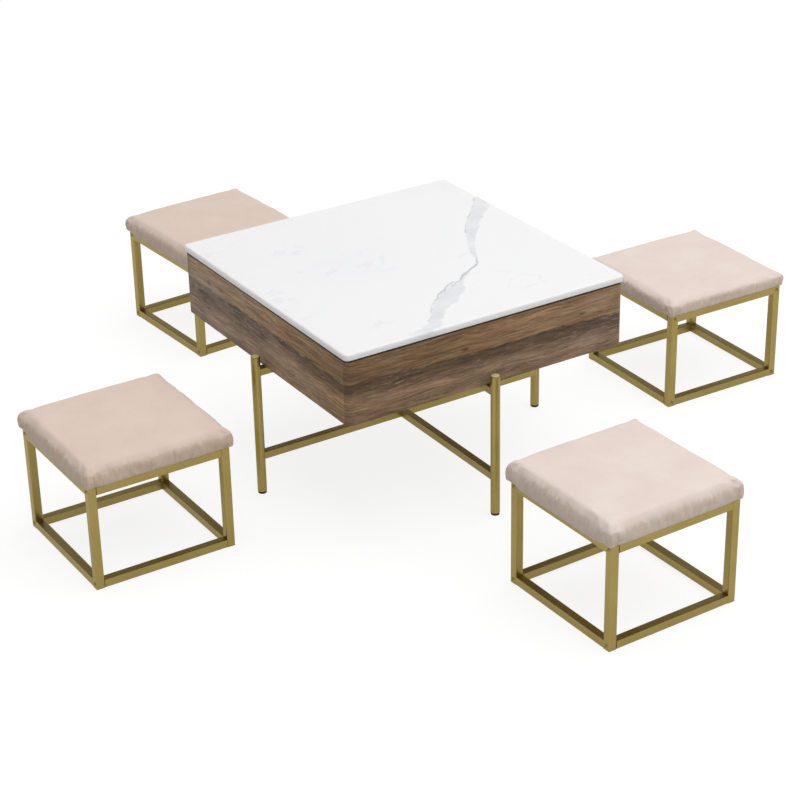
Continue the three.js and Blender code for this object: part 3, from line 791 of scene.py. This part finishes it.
def cover(name, seed, plump, shift, hang, droop):
    """The pad with its cover's own folds: tucks at the corners, puckers on the sides, a crowned top."""
    form = bmesh.new()
    form.from_mesh(pad_mesh)
    near_corners = [e for e in form.edges if all(min(abs(v.co.x), abs(v.co.y)) > fine_from for v in e.verts)]
    bmesh.ops.subdivide_edges(form, edges=near_corners, cuts=1, use_grid_fill=True)
    for vertex in form.verts:
        x, y, z = vertex.co
        u = min(abs(x) / pad_half, 1)
        w = min(abs(y) / pad_half, 1)
        reach = max(abs(x), abs(y))
        lift = min(max((z - pad_bottom) / pad_side, 0), 1)
        side = smooth_step(reach, pad_half - 0.022, pad_half - 0.004)
        outward = Vector((math.copysign(u ** 9, x), math.copysign(w ** 9, y), 0))
        outward = outward.normalized() if outward.length > 1e-6 else Vector((0, 0, 0))
        # The side stands out a little at half height, in slow folds under the shoulder
        belly = bulge * math.sin(math.pi * lift)
        fold = noise.noise(Vector((x * fold_waves, y * fold_waves, seed))) * fold_depth
        fold *= smooth_step(lift, 0.2, 0.65)
        place = noise.noise(Vector((x * crimp_place_waves, y * crimp_place_waves, seed + 9)))
        crimp = noise.noise(Vector((x * crimp_waves, y * crimp_waves, seed + 5 + z * 10))) * crimp_depth
        crimp *= smooth_step(place, -0.15, 0.25) * smooth_step(lift, 0.3, 0.5) * smooth_step(lift, 0.98, 0.72)
        # The tuck: the cover is folded flat on the front and back, with a crease where the fold ends
        from_corner = pad_half - abs(x)
        tuck = 0.0
        if abs(y) > tuck_side:
            ends = smooth_step(lift, 0.74, 0.48)
            tuck = tuck_rise * smooth_step(from_corner, *tuck_edge) * ends
            tuck -= groove_depth * math.exp(-((from_corner - groove_place) / groove_width) ** 2) * ends
        corner = smooth_step(min(u, w), 0.955, 0.995) * smooth_step(lift, 0.95, 0.7)
        crease = crease_depth * math.exp(-((abs(x) - abs(y)) / crease_width) ** 2) * corner
        vertex.co += outward * side * (belly + fold + crimp + tuck - crease)
        # The cover is drawn out a little at the top of each corner
        ear = smooth_step(min(u, w), 0.80, 0.97) * smooth_step(lift, 0.45, 0.85)
        vertex.co += Vector((math.copysign(ear_out, x), math.copysign(ear_out, y), ear_up)) * ear
        # The top is crowned, and drops toward the corners
        high = crown * (1 - u ** 4) * (1 - w ** 4) - corner_drop * (u * w) ** 5
        dent = noise.noise(Vector((x * dent_waves, y * dent_waves, seed + 3))) * dent_depth
        vertex.co.z += lift * (high + dent)
        vertex.co.z = pad_bottom + (vertex.co.z - pad_bottom) * (1 + (plump - 1) * lift)
        # The hem hangs a little over the frame on one side
        beyond = x * hang[0] + y * hang[1] - stool_half - frame_clear
        if beyond > 0 and z < pad_bottom + hem_height:
            sideways = abs(x * hang[1]) + abs(y * hang[0])
            hung = smooth_step(sideways, *hem_ends) * min(beyond / hem_edge, 1)
            vertex.co.z -= droop * hung * (1 - max(z - pad_bottom, 0) / hem_height)
    bmesh.ops.smooth_vert(
        form, verts=form.verts, factor=0.4, use_axis_x=True, use_axis_y=True, use_axis_z=True
    )
    # Underneath it lies flat on the frame, with a pocket that the board fills
    rim = set()
    for vertex in form.verts:
        reach = max(abs(vertex.co.x), abs(vertex.co.y))
        if vertex.co.z < pad_bottom + flat_below and reach < stool_half + frame_clear:
            vertex.co.z = pad_bottom
            if reach < pocket_half + voxel / 2:
                vertex.co.z = pocket_top
                for axis in (0, 1):
                    if abs(vertex.co[axis]) > board_half - voxel / 2:
                        vertex.co[axis] = math.copysign(pocket_half, vertex.co[axis])
                        rim.add(vertex)
    rim_edges = [e for e in form.edges if e.verts[0] in rim and e.verts[1] in rim]
    bmesh.ops.dissolve_degenerate(form, dist=rim_merge, edges=rim_edges)
    bmesh.ops.transform(form, matrix=Matrix.Translation(shift) @ stool_place(name), verts=form.verts)
    for face in form.faces:
        face.smooth = True
    return form


def brushed_cloth(name, top, shade_colour):
    """Short-piled cloth: brushed patches, a fine nap, a pale sheen, puckers where it turns down, and painted
    shade on the sides.
    """
    cloth = Finish(name, Roughness=0.85, Specular_IOR_Level=0.25, Sheen_Weight=0.25, Sheen_Roughness=0.45)
    place = cloth.place()
    patches = cloth.speckle(place, 11, 4, 0.55)
    brushed = cloth.speckle(cloth.stretch(place, (60, 140, 90)), detail=4, roughness=0.6)
    facing = cloth.tree.nodes.new("ShaderNodeTexCoord").outputs["Normal"]
    side = cloth.spread(cloth.parts(facing)[2], 0.85, 0.25, 0, 1, True)
    puckers = cloth.speckle(cloth.stretch(place, (95, 95, 42)), detail=4, roughness=0.6)
    nap = cloth.speckle(place, 1100, 2)
    base = cloth.mixed(cloth.spread(patches, 0.3, 0.7), shade_colour, top)
    base = cloth.mixed(cloth.spread(brushed, 0.3, 0.7, 0, 0.35), base, top)
    # Painted shade: faces that turn sideways are darkened, mottled by the puckers
    painted_side_shade = cloth.mixed(cloth.spread(puckers, 0.35, 0.65), colour(234, 230, 219), colour(250, 247, 239))
    base = cloth.mixed(side, base, cloth.mixed(1.0, base, painted_side_shade, "MULTIPLY"))
    cloth.set("Base Color", cloth.mixed(cloth.spread(nap, 0.3, 0.7, 0.0, 0.16), base, colour(150, 128, 112)))
    pile = cloth.sum("MULTIPLY_ADD", nap, 0.35, cloth.sum("MULTIPLY", brushed, 0.65))
    cloth.raised(cloth.sum("MULTIPLY_ADD", cloth.sum("MULTIPLY", puckers, 1.8), side, pile), 0.0006, 0.5)
    return cloth


beige = brushed_cloth("cloth_beige", colour(232, 212, 199), colour(224, 203, 189))
blush = brushed_cloth("cloth_blush", colour(238, 223, 215), colour(231, 213, 205))
# Each seat's cloth, and its cover's seed, plumpness, shift, side that the hem hangs on, and droop
cushions = {
    "left_stool": (beige, 3.1, 1.0, (0.001, 0, 0), (-1, 0), 0.008),
    "front_stool": (blush, 17.7, 1.07, (-0.003, 0.001, 0), (-1, 0), 0.006),
    "right_stool": (blush, 41.3, 0.83, (-0.004, 0, 0), (0, 1), 0.003),
    "back_stool": (beige, 66.9, 0.95, (0.0, 0, 0), (-1, 0), 0.007),
}
for name, (finish, *shape) in cushions.items():
    pad = piece(f"{name}_padded_seat", cover(name, *shape), finish, "cushion_cloth", f"{name}_cushion")

# The stage: a pale floor that keeps the shadow, soft light from above and all round, and a camera
# where the photograph was taken from.
floor_half = 24
stage_form = bmesh.new()
bmesh.ops.create_grid(stage_form, x_segments=1, y_segments=1, size=floor_half)
stage_mesh = bpy.data.meshes.new("studio_floor")
stage_form.to_mesh(stage_mesh)
stage_form.free()
floor = bpy.data.objects.new("studio_floor", stage_mesh)
bpy.context.scene.collection.objects.link(floor)
paper = bpy.data.materials.new("studio_paper")
paper.use_nodes = True
tree = paper.node_tree
tree.nodes.clear()
rays = tree.nodes.new("ShaderNodeLightPath")
direct = tree.nodes.new("ShaderNodeMath")
direct.operation = "MAXIMUM"
tree.links.new(rays.outputs["Is Camera Ray"], direct.inputs[0])
tree.links.new(rays.outputs["Is Transmission Ray"], direct.inputs[1])


def by_ray(otherwise, seen, mirrored):
    """A value for the floor as other pieces catch it, as it is seen, and as shiny pieces mirror it."""
    value = otherwise
    glossy = rays.outputs["Is Glossy Ray"]
    for ray, change in ((direct.outputs[0], seen - otherwise), (glossy, mirrored - otherwise)):
        node = tree.nodes.new("ShaderNodeMath")
        node.operation = "MULTIPLY_ADD"
        tree.links.new(ray, node.inputs[0])
        node.inputs[1].default_value = change
        if isinstance(value, float):
            node.inputs[2].default_value = value
        else:
            tree.links.new(value, node.inputs[2])
        value = node.outputs[0]
    return value


matt = tree.nodes.new("ShaderNodeBsdfDiffuse")
tree.links.new(by_ray(otherwise=0.6, seen=0.2, mirrored=0.4), matt.inputs["Color"])
glow = tree.nodes.new("ShaderNodeEmission")
tree.links.new(by_ray(otherwise=0.0, seen=0.84, mirrored=0.45), glow.inputs["Strength"])
pale = tree.nodes.new("ShaderNodeAddShader")
tree.links.new(matt.outputs[0], pale.inputs[0])
tree.links.new(glow.outputs[0], pale.inputs[1])
paper_out = tree.nodes.new("ShaderNodeOutputMaterial")
tree.links.new(pale.outputs[0], paper_out.inputs[0])
paper.cycles.emission_sampling = "NONE"
stage_mesh.materials.append(paper)

world = bpy.data.worlds.new("studio")
bpy.context.scene.world = world
world.use_nodes = True
tree = world.node_tree
tree.nodes.clear()
rays = tree.nodes.new("ShaderNodeLightPath")
# What shiny pieces see: white near the floor line, and the dimmer room above the lamp
direction = tree.nodes.new("ShaderNodeTexCoord")
height = tree.nodes.new("ShaderNodeSeparateXYZ")
tree.links.new(direction.outputs["Generated"], height.inputs[0])
room = tree.nodes.new("ShaderNodeMapRange")
for socket, value in zip(room.inputs[1:5], (0.05, 0.45, 1.0, 0.28)):
    socket.default_value = value
tree.links.new(height.outputs["Z"], room.inputs[0])
mirrored = tree.nodes.new("ShaderNodeMix")
tree.links.new(rays.outputs["Is Glossy Ray"], mirrored.inputs[0])
mirrored.inputs[2].default_value = 0.41
tree.links.new(room.outputs[0], mirrored.inputs[3])
strength = tree.nodes.new("ShaderNodeMix")
tree.links.new(rays.outputs["Is Camera Ray"], strength.inputs[0])
tree.links.new(mirrored.outputs[0], strength.inputs[2])
strength.inputs[3].default_value = 1.0
sky = tree.nodes.new("ShaderNodeBackground")
sky.inputs["Color"].default_value = (1, 1, 1, 1)
tree.links.new(strength.outputs[0], sky.inputs["Strength"])
world_out = tree.nodes.new("ShaderNodeOutputWorld")
tree.links.new(sky.outputs[0], world_out.inputs[0])

lamp_data = bpy.data.lights.new("overhead", "AREA")
lamp_data.shape = "SQUARE"
lamp_data.size = 12
lamp_data.energy = 728
lamp = bpy.data.objects.new("overhead", lamp_data)
under_middle = Vector((middle.x, middle.y, 0))
lamp.location = under_middle + Vector((3.0, -2.4, 7.6))
lamp.visible_glossy = False
bpy.context.scene.collection.objects.link(lamp)

camera_data = bpy.data.cameras.new("view")
camera_data.sensor_width = 36
camera_data.lens = 97.93
camera_data.clip_end = 60
camera = bpy.data.objects.new("view", camera_data)
bpy.context.scene.collection.objects.link(camera)
bpy.context.scene.camera = camera
azimuth = math.radians(-31.95)
elevation = math.radians(26.9)
roll = math.radians(-1.21)
level_share = math.cos(elevation)
back = Vector((math.sin(azimuth) * level_share, -math.cos(azimuth) * level_share, math.sin(elevation)))
level = Vector((math.cos(azimuth), math.sin(azimuth), 0))
upward = back.cross(level)
right = level * math.cos(roll) + upward * math.sin(roll)
upward = upward * math.cos(roll) - level * math.sin(roll)
turn = Matrix((right, upward, back)).transposed().to_4x4()
eye = under_middle + Vector((-2.4875, -3.9780, 2.5101))
camera.matrix_world = Matrix.Translation(eye) @ turn

bpy.context.scene.view_settings.view_transform = "Standard"
